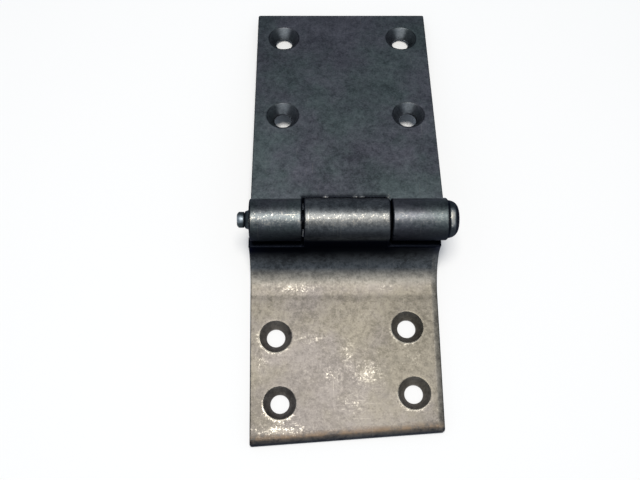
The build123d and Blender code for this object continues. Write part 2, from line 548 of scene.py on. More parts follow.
def turned_tree():
    """Turns a profile about Z. The profile is a row of points: X is the radius and Z the height."""
    build, given = new_tree("turned shape", Profile="Geometry")
    ring = given.output("Ring points")
    around = ring + 1.0
    count = given.output("Profile points")
    grid = build.node("GeometryNodeMeshGrid", inputs={"Vertices X": count, "Vertices Y": around})
    index = build.node("GeometryNodeInputIndex")
    row = build.math("FLOOR", (index + 0.5) / around)
    turn = (index - row * around) * (2 * pi) / ring
    here = build.node("GeometryNodeInputPosition")
    point = build.node(
        "GeometryNodeSampleIndex",
        {"data_type": "FLOAT_VECTOR", "domain": "POINT"},
        {"Geometry": given.output("Profile"), "Value": here, "Index": row},
    )
    radius = build.node("ShaderNodeSeparateXYZ", inputs={0: point})
    x, y = (radius * build.math(operation, turn) for operation in ("COSINE", "SINE"))
    place = build.node("ShaderNodeCombineXYZ", inputs={0: x, 1: y, 2: radius.output(2)})
    moved = build.node("GeometryNodeSetPosition", inputs={"Geometry": grid, "Position": place})
    closed = build.node("GeometryNodeMergeByDistance", inputs={"Geometry": moved, "Distance": 1e-6})
    build.node("NodeGroupOutput", inputs={"Geometry": closed})


def turned(build, given, profile):
    """The shape that a profile makes when it is turned, inside another tree."""
    shape = {"node_tree": bpy.data.node_groups["turned shape"]}
    counts = {key: given.output(key) for key in ("Profile points", "Ring points")}
    return build.node("GeometryNodeGroup", shape, {"Profile": profile, **counts})


def painted(build, given, geometry):
    """Ends a tree with its material and its output."""
    made = build.node(
        "GeometryNodeSetMaterial", inputs={"Geometry": geometry, "Material": given.output("Material")}
    )
    build.node("NodeGroupOutput", inputs={"Geometry": made})


def countersunk_tree():
    """Sets a turned wall into each hole of a plate."""
    inputs = {"Plate": "Geometry", "Places": "Object", "Profile": "Object", "Slope": "Float"}
    build, given = new_tree("countersunk holes", **inputs, Material="Material")
    places, profile = (
        build.node("GeometryNodeObjectInfo", inputs={"Object": given.output(key)}, output="Geometry")
        for key in ("Places", "Profile")
    )
    marked = build.node(
        "GeometryNodeStoreNamedAttribute",
        {"data_type": "FLOAT", "domain": "POINT"},
        {"Geometry": turned(build, given, profile), "Name": "cut", "Value": 1.0},
    )
    turn = build.node("ShaderNodeCombineXYZ", inputs={0: given.output("Slope")})
    walls = build.node(
        "GeometryNodeInstanceOnPoints", inputs={"Points": places, "Instance": marked, "Rotation": turn}
    )
    both = build.node("GeometryNodeJoinGeometry", inputs={0: given.output("Plate")})
    build.tree.links.new(walls.socket, both.socket.node.inputs[0])
    real = build.node("GeometryNodeRealizeInstances", inputs={"Geometry": both})
    joined = build.node("GeometryNodeMergeByDistance", inputs={"Geometry": real, "Distance": 3e-6})
    painted(build, given, joined)


def pin_tree():
    """Turns the pin's profile and lays it along X."""
    build, given = new_tree("turned pin", Profile="Geometry", Place="Vector", Material="Material")
    laid = build.node(
        "GeometryNodeTransform",
        inputs={
            "Geometry": turned(build, given, given.output("Profile")),
            "Translation": given.output("Place"),
            "Rotation": (0, pi / 2, 0),
        },
    )
    painted(build, given, build.node("GeometryNodeRealizeInstances", inputs={"Geometry": laid}))


def made_by(made, tree, **values):
    """Runs a tree on an object and keeps the result as its plain mesh."""
    modifier = made.modifiers.new(tree, "NODES")
    modifier.node_group = bpy.data.node_groups[tree]
    for item in modifier.node_group.interface.items_tree:
        key = item.name.replace(" ", "_").lower()
        if item.in_out == "INPUT" and key in values:
            modifier[item.identifier] = values[key]
    bpy.context.view_layer.update()
    done = made.evaluated_get(bpy.context.evaluated_depsgraph_get())
    mesh = bpy.data.meshes.new_from_object(done)
    made.modifiers.remove(modifier)
    made.data = mesh


# Materials

# How the mill scale leans to one hue and the other from place to place.
UPPER_TINTS = ((0.93, 1.035, 0.97), (1.06, 0.965, 1.04))
LOWER_TINTS = ((1.015, 1.0, 0.95), (1.0, 0.985, 1.06))


class Paint(Nodes):
    """Builds the nodes of one material, or of the world."""

    def __init__(self, owner):
        owner.use_nodes = True
        super().__init__(owner.node_tree)
        self.owner = owner
        self.tree.nodes.clear()

    def clamp(self, value):
        return self.math("ADD", value, 0.0, clamp=True)

    def step(self, value, low, high):
        """0 below low, 1 above high, and smooth between."""
        return self.node(
            "ShaderNodeMapRange",
            {"interpolation_type": "SMOOTHSTEP"},
            {"Value": value, "From Min": low, "From Max": high},
        )

    def mix(self, share, first, second):
        """Two colours mixed by a share."""
        return self.node("ShaderNodeMix", {"data_type": "RGBA"}, {0: share, 6: first, 7: second}, output=2)

    def layer(self, name):
        return self.node("ShaderNodeAttribute", {"attribute_name": name}, output=2)

    def object_place(self):
        return self.node("ShaderNodeTexCoord", output=3)

    def flat_place(self):
        return self.node("ShaderNodeUVMap", {"uv_map": "flat"})

    def stretched(self, place, scale, turn=0.0, shift=(0.0, 0.0, 0.0)):
        return self.node(
            "ShaderNodeMapping",
            inputs={"Vector": place, "Location": shift, "Rotation": (0.0, 0.0, turn), "Scale": scale},
        )

    def cloud(self, place, scale, detail, rough, distortion=0.0):
        inputs = {"Scale": scale, "Detail": detail, "Roughness": rough, "Distortion": distortion}
        return self.node("ShaderNodeTexNoise", {"noise_dimensions": "3D"}, {"Vector": place, **inputs})

    def seen(self):
        """1 on the rays that the camera sees directly, in a reflection or through a surface."""
        rays = self.node("ShaderNodeLightPath")
        direct = rays.output("Is Camera Ray") + rays.output("Is Glossy Ray")
        return self.clamp(direct + rays.output("Is Transmission Ray"))


def shade(colour, by=1.0, tint=(1.0, 1.0, 1.0)):
    """A colour made lighter or darker, and tinted, as a socket takes it."""
    return (*(c * by * t for c, t in zip(colour, tint)), 1.0)


def steel(name, finish, skin, mottle, tints, shine=1.0, laid_flat=True):
    """Hot-rolled steel with its mill scale, rubbed edges, scratches, dirt and thin rust, and the painted
    shade and painted highlights that its layers carry.
    """
    paint = Paint(bpy.data.materials.new(name))
    place = paint.object_place()
    surface = paint.flat_place() if laid_flat else place
    blotches = paint.cloud(place, 75.0, 4.0, 0.6, 0.6)
    patches = paint.cloud(place, 24.0, 3.0, 0.5, 0.3)
    hues = paint.cloud(paint.stretched(place, (1.0, 1.0, 1.0), 0.0, (0.4, 0.1, 0.2)), 22.0, 5.0, 0.65)
    grain = paint.cloud(place, 1000.0, 3.0, 0.7)
    speckle = paint.cloud(place, 380.0, 4.0, 0.75)
    edge, rubbed_and_highlight, cut, rust, soot_and_shade, flaked_and_sheen, blued = (
        paint.layer(key) for key in ("edge", "rubbed_and_highlight", "cut", "rust", "soot_and_shade", "flaked_and_sheen", "blued")
    )

    # Rubbed, scratched and cut places, where bare metal shows, and painted highlights and glints of bare
    # metal
    fine = paint.stretched(surface, (1.0, 0.035, 1.0), 0.35)
    cross = paint.stretched(surface, (0.04, 1.0, 1.0), -0.25, (0.3, 0.7, 0.0))
    scratches = paint.step(paint.cloud(fine, 1500.0, 2.0, 0.5), 0.66, 0.73)
    scratches = scratches + paint.step(paint.cloud(cross, 1300.0, 2.0, 0.5), 0.67, 0.74)
    where = paint.step(patches, 0.42, 0.62)
    clean_and_unshaded = 1.0 - soot_and_shade
    glints = paint.clamp((scratches * where * 0.22 + scratches * rubbed_and_highlight * 0.7) * clean_and_unshaded)
    pits = speckle * 0.5 + grain * 0.5
    flecks = paint.step(pits + rubbed_and_highlight * 0.075, 0.585, 0.625)
    veins = paint.math("ABSOLUTE", paint.cloud(place, 300.0, 2.0, 0.5, 1.2) - 0.5)
    ridges = 1.0 - paint.step(veins, 0.006, 0.022)
    bare = paint.clamp(
        edge * clean_and_unshaded * paint.step(speckle, 0.38, 0.62) * 0.55
        + rubbed_and_highlight * flecks * 0.95
        + rubbed_and_highlight * ridges * paint.step(pits, 0.46, 0.56) * 0.9
        + rubbed_and_highlight**6 * 0.8
        + paint.step(pits, 0.60, 0.65) * clean_and_unshaded * (mottle - 1.0) * 0.3
        + glints
    )

    # Mill scale, mottled in tone and hue, under dirt, painted shade and rust
    mottled = (speckle - 0.5) * 1.6 + (blotches - 0.5) * 1.1 + (patches - 0.5) * 0.6
    tone = paint.clamp(0.5 + (grain - 0.5) * 1.6 + mottled * mottle)
    hue = paint.step(hues, 0.36, 0.64)
    deep, light = (paint.mix(hue, *(shade(skin, level, tint) for tint in tints)) for level in (0.62, 1.38))
    scale = paint.mix(tone, deep, light)
    # Lighter scale where the flaked layer is set: thinner, flaking scale and painted light.
    for share, colour, low, high in ((blued, finish.upper_scale, 0.6, 1.4), (flaked_and_sheen, skin, 1.4, 2.7)):
        scale = paint.mix(share, scale, paint.mix(tone, shade(colour, low), shade(colour, high)))
    dark = paint.step(blotches, 0.60, 0.76) * 0.2 + paint.step(speckle, 0.62, 0.74) * 0.18
    rusty = rust * paint.step(speckle * 0.6 + blotches * 0.4, 0.36, 0.60)
    colour = paint.mix(paint.clamp(dark + soot_and_shade), scale, shade(finish.soot_and_shade_colour))
    colour = paint.mix(cut * clean_and_unshaded * 0.25, colour, shade(skin, 0.7))
    colour = paint.mix(rusty, colour, shade(finish.rust_colour))
    colour = paint.mix(bare, colour, shade(finish.bare_colour, shine))

    uneven = (blotches - 0.5) * 0.22 + (speckle - 0.5) * 0.2
    height = grain * 0.3 + speckle * 0.55 + blotches * 0.6 - glints * 0.35
    bump = paint.node("ShaderNodeBump", inputs={"Strength": 0.55, "Distance": 0.00014, "Height": height})
    shader = paint.node(
        "ShaderNodeBsdfPrincipled",
        inputs={
            "Base Color": colour,
            "Metallic": paint.clamp(1.0 - rust * 0.7),
            "Roughness": paint.clamp(finish.roughness + uneven - bare * 0.14 + rust * 0.2),
            "Specular Tint": (0.45, 0.45, 0.5, 1.0),
            "Normal": bump,
        },
    )
    paint.node("ShaderNodeOutputMaterial", inputs={0: shader})
    return paint.owner


def floor_material():
    """A pale floor that looks white round the hinge and keeps its shadow, deepest under the long leaf."""
    paint = Paint(bpy.data.materials.new("pale floor"))
    spot = paint.node("ShaderNodeSeparateXYZ", inputs={"Vector": paint.object_place()})
    middle = (AXIS_Y - 12 + upper_high.y) / 2 * MM
    across = paint.math("ABSOLUTE", spot) - upper_high.x * MM
    along = paint.math("ABSOLUTE", spot.output("Y") - middle) - (upper_high.y * MM - middle)
    share = paint.seen() * paint.step(paint.math("MAXIMUM", across, along), -0.004, 0.007) * 0.5
    lit = paint.node("ShaderNodeBsdfDiffuse", inputs={"Color": (0.90, 0.915, 0.94, 1.0)})
    white = paint.node("ShaderNodeEmission", inputs={"Color": (1.0, 1.0, 1.0, 1.0), "Strength": 1.0})
    both = paint.node("ShaderNodeMixShader", inputs={0: share, 1: lit, 2: white})
    paint.node("ShaderNodeOutputMaterial", inputs={0: both})
    return paint.owner


# Pieces

def hole_profile(rim, bore, plate):
    """The wall of a countersunk hole, from the front face down to the back face."""
    cone = (rim - bore) / tan(HALF_COUNTERSINK)
    return [
        (rim + HOLE_MARGIN, 0.0),
        (rim + 0.3, -0.01),
        (rim + 0.08, -0.07),
        (rim - 0.1, -0.28),
        (rim - (rim - bore) / 3, -cone / 3),
        (rim - (rim - bore) * 2 / 3, -cone * 2 / 3),
        (bore + 0.2, 0.28 - cone),
        (bore + 0.05, 0.04 - cone),
        (bore, -cone - 0.2),
        (bore, -plate + 0.35),
        (bore + 0.08, -plate + 0.1),
        (bore + 0.35, -plate),
        (bore + HOLE_MARGIN, -plate),
    ]


class Leaf:
    """A leaf's plate with its holes, laid flat and then bent along its path."""

    def __init__(self, size, path, outline, lines, holes, rim, way):
        self.size, self.rim = size, rim
        rims = (rim + HOLE_MARGIN, size.hole_radius + HOLE_MARGIN)
        self.flat, self.depth, self.faces = flat_plate(outline, lines, holes, rims, size.ring_points, way)
        self.x, self.s = self.flat.T
        self.places, self.fronts = path.place(self.flat, self.depth)
        self.inside = outline.apart(self.flat)
        from_holes = np.min([np.hypot(self.x - x, self.s - s) for x, s in holes], axis=0)
        self.calm = np.clip((from_holes - rims[0]) / 5.0, 0, 1)

    def hollow(self, amount):
        """Moves both faces inwards by an amount for each point, less near the holes."""
        share = 1 - 2 * self.depth / self.size.plate
        self.places = self.places - self.fronts * (amount * self.calm * share)[:, None]

    def rims(self):
        """1 on the rims of the front and back faces, falling to 0 inside them and half way through."""
        through = np.minimum(self.depth, self.size.plate - self.depth)
        return fading(self.inside, 0.3, 1.0) * fading(through, 0.5, 1.4)

    def dark_rims(self, on_roll):
        """How dark the rims are: a thin line on the flats, and wider at the knuckles' ends."""
        thin, wide = fading(self.inside, 0.25, 0.55), fading(self.inside, 0.55, 1.2)
        return 0.7 * thin * (1 - on_roll) + 0.95 * wide * on_roll


def build_leaf(leaf, name, places, layers, material, centres, slope, hole_light_and_wear):
    """Makes the leaf's mesh, and closes its holes with their countersunk walls."""
    size = leaf.size
    made = mesh_object(name, places, leaf.faces, leaf.flat, layers)
    profile = hole_profile(leaf.rim, size.hole_radius, size.plate)
    points = mesh_object("hole places", centres)
    wall = mesh_object("hole wall", [(radius, 0.0, height) for radius, height in profile])
    counts = {"profile_points": len(profile), "ring_points": size.ring_points}
    made_by(made, "countersunk holes", places=points, profile=wall, slope=slope, material=material, **counts)
    for spare in (points, wall):
        bpy.data.objects.remove(spare)
    finish_mesh(made)
    made.data.materials.clear()
    made.data.materials.append(material)
    wear_holes(leaf, made, centres, slope, *hole_light_and_wear)
    return made


def wear_holes(leaf, made, centres, slope, lit, side_shade, burrs):
    """Paints light on the walls' far side and painted shade beside it and round the rim, and rubs the near
    rim's burrs bright with painted glints.
    """
    rim, bore, plate = leaf.rim, leaf.size.hole_radius, leaf.size.plate
    points = points_of(made)
    layers = {key: read_layer(made.data, key) for key in ("cut", "soot_and_shade", "flaked_and_sheen", "rubbed_and_highlight", "edge")}
    for centre in centres:
        away = points - np.array(centre)
        along = away[:, 1] * cos(slope) + away[:, 2] * sin(slope)
        up = away[:, 2] * cos(slope) - away[:, 1] * sin(slope)
        radius = np.hypot(away[:, 0], along)
        near = (radius < rim + 1.5) & (np.abs(up) < plate + 0.5)
        wall = near & (radius < rim - 0.05) & ((up > 0.25 - plate) | (radius < bore + 0.03))
        on_rim = near & (up > -1.0) & (radius > rim - 0.05)
        lip, burred = on_rim & (radius < rim + 0.5), on_rim & (radius < rim + 1.1)
        far = along / np.maximum(radius, 0.01)
        side_on = far * 0.85 + away[:, 0] / np.maximum(radius, 0.01) * 0.35
        middle = smooth(far, 0.80, 0.99)
        falling = 1 - 0.24 * smooth(radius[burred], rim + 0.4, rim + 0.9)
        layers["cut"][near] = wall[near]
        layers["edge"][near] = 0.0
        # Painted light on the far wall's middle, painted shade on the walls beside it.
        layers["flaked_and_sheen"][wall] = lit * middle[wall]
        layers["soot_and_shade"][wall] = side_shade * (1 - middle[wall])
        # Painted shade round the rim, least on the far side.
        layers["soot_and_shade"][lip] = side_shade * (1.6 - 0.7 * smooth(far[lip], 0.5, 0.95))
        # Burrs on the near rim: rubbed bright, with painted glints.
        layers["rubbed_and_highlight"][burred] = burrs * falling * fading(side_on[burred], -0.55, 0.25)
    for key, values in layers.items():
        write_layer(made.data, key, values)
    made.data.update()


def round_pin(points):
    """How far points are turned round the pin's axis, in degrees from +Y by way of +Z."""
    return np.degrees(np.arctan2(points[:, 2] - AXIS_Z, points[:, 1] - AXIS_Y)) % 360


def barrel_wear_and_light(points, top):
    """How far the barrel is rubbed bright along its top, where its highlight falls, with a painted highlight
    there, and how dark it is painted beside that: dirt and painted shade, darkest underneath.
    """
    turn = round_pin(points)
    apart = np.abs(turn - top)
    shaded_under = smooth(turn, 125, 158)
    turned_away = 1 - 0.55 * smooth(turn, 200, 240)
    return 0.54 * fading(apart, 8, 32), smooth(apart, 12, 38) * (0.46 + 0.38 * shaded_under) * turned_away


def upper_leaf(size, finish):
    """The long leaf, drawn level round the pin's axis and then sloped to its rest."""
    plate, pin, reach = size.plate, size.pin_radius, size.upper_length
    outer = pin + plate
    half, end_half, high = size.upper_width / 2, size.upper_end_width / 2, size.barrel_length / 2
    notch_left, notch_right = size.middle_start - size.knuckle_gap, size.middle_end + size.knuckle_gap
    notch_end = reach - size.notch_reach
    slope = asin(AXIS_Z / hypot(outer, reach)) - atan2(outer, reach)

    path = PlatePath((reach, -pin), (-1, 0), (0, 1))
    path.run(reach)
    roll = path.roll(size, 1)
    plain = edge_profile(size, (0.3, 0.3), (0.2, 0.2))
    side = edge_profile(size, (0.2, 0.2), (0.7, 0.7))
    lip = edge_profile(size, (0.25, 0.25), (0.5, 0.4))
    corners = [
        (-end_half, 0, 1.4),
        (end_half, 0, 1.2),
        (half, reach - 13, 2.0),
        (high, reach - 9, 2.0),
        (high, roll, 0.8),
        (notch_right, roll, 0.8),
        (notch_right, notch_end, 1.2),
        (notch_left, notch_end, 1.2),
        (notch_left, roll, 0.8),
        (-high, roll, 0.8),
        (-high, reach - 9, 2.0),
        (-half, reach - 13, 2.0),
    ]
    profiles = [plain, plain, plain, side, lip, side, plain, side, lip, side, plain, plain]
    lines = spans_of([(0, 0), (reach - 20, 2.2), (reach, 1.4), (roll, 0.62)])
    holes = [
        (way * size.hole_spacing / 2 + UPPER_HOLES_X, reach - row)
        for row in (size.outer_row, size.inner_row)
        for way in (-1, 1)
    ]
    holes[3] = (holes[3][0] + STRAY_HOLE[0], holes[3][1] - STRAY_HOLE[1])
    outline = Outline(corners, profiles, lines)
    leaf = Leaf(size, path, outline, lines, holes, size.upper_countersink, -1)

    x, s, depth, level = leaf.x, leaf.s, leaf.depth, leaf.places
    on_roll = smooth(s, reach - 2, reach + 6)
    dents = swells(level, 7.5, 2, 0.075) * on_roll + swells(level, 3.2, 3, 0.02) * on_roll
    leaf.hollow(swells(level, 21.0, 1, 0.035) * (1 - on_roll) + dents)

    # The rolled lip's outer corners are cut off.
    level = leaf.places
    cut_along, cut_back = LIP_CORNER
    taken = (level[:, 1] - (outer - cut_back)) / cut_back * cut_along
    over = (level[:, 2] > -pin + 0.2) & (taken > 0) & (np.abs(level[:, 0]) > high - taken)
    level[over, 0] = np.sign(level[over, 0]) * (high - taken[over])

    def sloped(x, out, up):
        y = AXIS_Y + out * cos(slope) + up * sin(slope)
        z = AXIS_Z - out * sin(slope) + up * cos(slope)
        return np.stack((x, y, z), axis=-1)

    places = sloped(*level.T)
    places[:, 2] = np.maximum(places[:, 2], 0.0)
    # The barrel's top carries a painted highlight where its highlight falls, dimmer on the right knuckle;
    # beside it, dirt and painted shade.
    rubbed_crown_highlight, grime_and_shade = barrel_wear_and_light(places, 109)
    rubbed_crown_highlight = rubbed_crown_highlight * (1 - 0.45 * smooth(places[:, 0], 0, 20)) * on_roll
    # The barrel's side toward the leaf, by the seam, gets painted light against its shade.
    seam_side_light = on_roll * band(round_pin(places), 0, 12, 26, 44) * (depth > plate / 2)
    beside = smooth(s, reach - 24, reach - 13) * (1 - on_roll) * (depth < 1)
    at_notch = band(x, notch_left - 1.4, notch_left - 0.4, notch_right + 0.4, notch_right + 1.4)
    # Painted shade on the notch's end face, below the barrel.
    notch_shade = at_notch * smooth(s, notch_end - 2.5, notch_end - 0.4) * (1 - on_roll)
    # Small burrs along the notch's far edge are rubbed bright and carry painted glints.
    burrs = np.max([fading(np.abs(x - at), 0.3, 1.1) for at in (-11.3, 3.7, 8.4, 22.0)], axis=0)
    burr_glints = 0.85 * burrs * notch_shade * (depth < 1.5)
    dark = [
        on_roll * (0.12 + 0.88 * grime_and_shade) * (1 - seam_side_light),
        0.97 * notch_shade * (1 - burr_glints),
        leaf.dark_rims(on_roll) * (1 - notch_shade) * fading(s, roll - 1.5, roll - 0.9),
    ]
    # The back face is darkened with painted shade, and the leaf grows darker towards its far end.
    towards_end, back_face_shade = fading(s, 0, 120), (1 - on_roll) * (depth > plate - 0.1)
    layers = {
        "edge": leaf.rims() * (1 - notch_shade) * (1 - on_roll) * 0.2,
        "rubbed_and_highlight": np.maximum(rubbed_crown_highlight * (depth > plate / 2), burr_glints),
        "soot_and_shade": np.maximum.reduce(dark) + 0.14 * towards_end + 0.5 * back_face_shade,
        "flaked_and_sheen": 0.35 * rubbed_crown_highlight + 0.9 * seam_side_light + 0.25 * beside,
    }
    material = steel("upper leaf steel", finish, finish.upper_scale, 1.2, UPPER_TINTS)
    centres = [sloped(x, reach - s, -pin) for x, s in holes]
    # Hole walls: painted light 0.85 on the far side, painted shade 0.5 beside it, no burrs.
    return build_leaf(leaf, "upper_leaf_plate", places, layers, material, centres, -slope, (0.85, 0.5, 0.0))


def scuffs(places):
    """Where the lower leaf's face is scratched and rubbed bright: place, reach and strength."""
    marks = (
        (-27, 44.5, 15, 6, 0.74),
        (0.4, 6, 4, 9, 0.7),
        (10.5, -4.5, 11, 8, 0.72),
        (-8, -5, 6, 4.5, 0.65),
        (-35, -33.2, 19, 4.0, 0.80),
        (-45, 2.3, 4, 6, 0.6),
        (34, 3, 3, 3, 0.7),
        (-20, 14, 9, 4, 0.5),
        (2, -19, 8, 6, 0.5),
        (20.5, 42.5, 5, 3, 0.55),
        (-44, 46, 5, 3, 0.55),
        (34, 5, 7, 3, 0.5),
    )
    value = np.zeros(len(places))
    for x, y, wide, tall, strength in marks:
        apart = np.hypot((places[:, 0] - x) / wide, (places[:, 1] - y) / tall)
        value = np.maximum(value, strength * fading(apart, 0.2, 1.3))
    return value


def lower_leaf(size, finish):
    """The cranked leaf: flat, bent up to the height of the pin, and rolled over it."""
    plate, bend = size.plate, size.crank_radius
    foot = AXIS_Y - (size.pin_radius + plate) - bend
    end = lower_low.y - 0.001
    left, right = lower_low.x, lower_high.x
    path = PlatePath((end, plate), (1, 0), (0, 1))
    crank = path.run(foot - end)
    wall = path.bend(bend, radians(90), 1, (bend + plate / 2) * radians(90))
    roll = path.run(AXIS_Z - plate - bend)
    lip = path.roll(size, -1)
    shoulder = wall + size.shoulder
    start, stop = size.middle_start, size.middle_end
    end_left = left + LEFT_LEAN * foot * 2

    plain = edge_profile(size, (0.3, 0.3), (0.2, 0.2))
    sheared = edge_profile(size, (2.5, 3.0), (0.2, 0.2), 0.8)
    eased = edge_profile(size, (3.0, 0.6), (0.2, 0.2), 0.6)
    side = edge_profile(size, (0.7, 0.7), (0.2, 0.2))
    corners = [
        (end_left, 0.0, 1.0),
        (right, (right - end_left) * END_SKEW, 1.4),
        (right, shoulder, 1.2),
        (stop, shoulder, 1.2),
        (stop, lip, 0.8),
        (start, lip, 0.8),
        (start, shoulder, 1.2),
        (left, shoulder, 1.2),
        (left, crank, 20.0),
    ]
    profiles = [sheared, eased, plain, side, side, side, plain, plain, plain]
    lines = spans_of([(0, 0), (crank - 4, 2.0), (wall, 1.3), (roll, 1.2), (lip, 0.62)])
    holes = []
    for along in (-LOWER_HALF_PITCH, LOWER_HALF_PITCH):
        for way in (-1, 1):
            x, y = Matrix.Rotation(HOLE_LEAN, 2) @ Vector((way * size.hole_spacing / 2, along))
            holes.append((x + LOWER_HOLES_X, y + foot - LOWER_HOLES_BACK - end))
    outline = Outline(corners, profiles, lines)
    leaf = Leaf(size, path, outline, lines, holes, size.lower_countersink, 1)

    x, s, depth, places = leaf.x, leaf.s, leaf.depth, leaf.places
    on_roll = smooth(s, roll - 4, roll + 4)
    on_bend = smooth(s, crank - 6, crank + 4) * (1 - on_roll)
    waves = swells(places, 19.0, 4, 0.04) * (1 - on_roll) + swells(places, 8.0, 5, 0.05) * on_bend
    dents = swells(places, 7.0, 6, 0.08) * on_roll + swells(places, 3.1, 7, 0.02) * on_roll
    leaf.hollow(waves + dents)
    places = leaf.places
    places[:, 2] = np.maximum(places[:, 2], 0.0)

    # The barrel's top carries a painted highlight where its highlight falls; beside it, dirt and painted
    # shade.
    rubbed_crown_highlight, grime_and_shade = barrel_wear_and_light(places, 113)
    from_end = s - (x - end_left) * END_SKEW
    up_bend = s - crank
    at_end = fading(from_end, 1.4, 2.4)
    under_barrel_shade = smooth(s, crank + 16, wall - 2)
    by_shoulder = smooth(s, shoulder - 2.5, shoulder - 1)
    lighter = 0.11 * smooth(x, stop, stop + 8) * (1 - by_shoulder)
    # Painted light on the right edge's bevel.
    on_bevel = band(x, right - 3.6, right - 3.0, right - 0.9, right - 0.4)
    # Painted shade on the top of the bend under the barrel, a little lighter right of the middle knuckle.
    dark = [
        (0.97 - lighter + 0.03 * by_shoulder) * under_barrel_shade * (1 - on_roll),
        on_roll * (0.09 + 0.84 * grime_and_shade),
        0.55 * at_end,
        leaf.dark_rims(on_roll) * smooth(from_end, 1.0, 2.0),
    ]
    # Two faint lines across the foot of the bend, and a darker end and left side.
    shaded = (
        0.14 * fading(np.abs(up_bend + 0.6), 0.6, 2.2)
        + 0.15 * fading(np.abs(up_bend - 3.8), 0.6, 2.6)
        + 0.17 * fading(from_end, 5, 45)
        + 0.06 * fading(x, left + 12, left + 40)
    )
    # A painted highlight across the bend, a little above its foot.
    bend_highlight = band(up_bend, 4.5, 10.5, 12.5, 18.5)
    layers = {
        "edge": leaf.rims() * (1 - under_barrel_shade) * (1 - on_roll) * 0.2,
        "rubbed_and_highlight": np.maximum(rubbed_crown_highlight * on_roll * (depth < plate / 2), scuffs(places) * (1 - on_roll)),
        "rust": band(from_end, 1.6, 2.4, 2.8, 5.5) * fading(depth, 1.0, 2.6) * 0.6,
        "soot_and_shade": np.maximum.reduce(dark) + shaded,
        "flaked_and_sheen": np.maximum.reduce([bend_highlight, 0.35 * on_bevel * (1 - under_barrel_shade), 0.35 * rubbed_crown_highlight * on_roll]),
        "blued": np.maximum(smooth(up_bend, 9, 19), at_end),
    }
    material = steel("lower leaf steel", finish, finish.lower_scale, 1.9, LOWER_TINTS)
    centres = [(x, s + end, plate) for x, s in holes]
    # Hole walls: painted light 0.25, painted shade 0.1, and rubbed burrs with glints.
    return build_leaf(leaf, "lower_leaf_plate", places, layers, material, centres, 0.0, (0.25, 0.1, 1.0))


def pin_profile(size, low, high, tip, top, groove):
    """The pin's radius and place along X, from its tip to the top of its head."""
    shank, head, crest, nose = size.pin_radius, size.head_radius, size.head_flat, size.nose_radius
    profile = [
        (0.0, tip),
        (nose * 0.35, tip + 0.007),
        (nose * 0.6, tip + 0.012),
        (nose - 1.15, tip + 0.06),
        (nose - 0.75, tip + 0.28),
        (nose - 0.2, tip + 0.82),
        (nose, tip + 1.25),
        (nose, groove - 0.35),
        (nose - 0.12, groove - 0.1),
        (GROOVE_RADIUS, groove + 0.02),
        (GROOVE_RADIUS, groove + 0.3),
        (FLARE[0] - 0.1, groove + 0.4),
    ]
    start, end = groove + 0.45, low - 0.05
    for share in (0.1, 0.35, 0.6, 0.85, 1.0):
        profile.append((FLARE[0] + (FLARE[1] - FLARE[0]) * share, start + (end - start) * share))
    profile += [(shank, low), (shank, low + 0.6), (shank, 0.0), (shank, high - 0.01)]
    profile += [(head - 0.35, high + 0.01), (head - 0.1, high + 0.1)]
    profile += [(head, high + 0.35), (head, high + HEAD_RIM - 0.1)]

    # The dome is an arc from the head's rim to its flat.
    rim, rise = high + HEAD_RIM, top - high - HEAD_RIM
    away = hypot(rise, head - crest) / 2
    bulge = sqrt(HEAD_ROUNDING**2 - away**2) / away / 2
    middle = ((head + crest) / 2 - bulge * rise, rim + rise / 2 - bulge * (head - crest))
    first = atan2(rim - middle[1], head - middle[0])
    last = atan2(top - middle[1], crest - middle[0])
    for step in range(1, 14):
        turn = first + (last - first) * step / 13
        height = min(middle[1] + HEAD_ROUNDING * sin(turn), top)
        profile.append((middle[0] + HEAD_ROUNDING * cos(turn), height))
    return profile + [(4.1, top), (2.6, top), (0.0, top)]


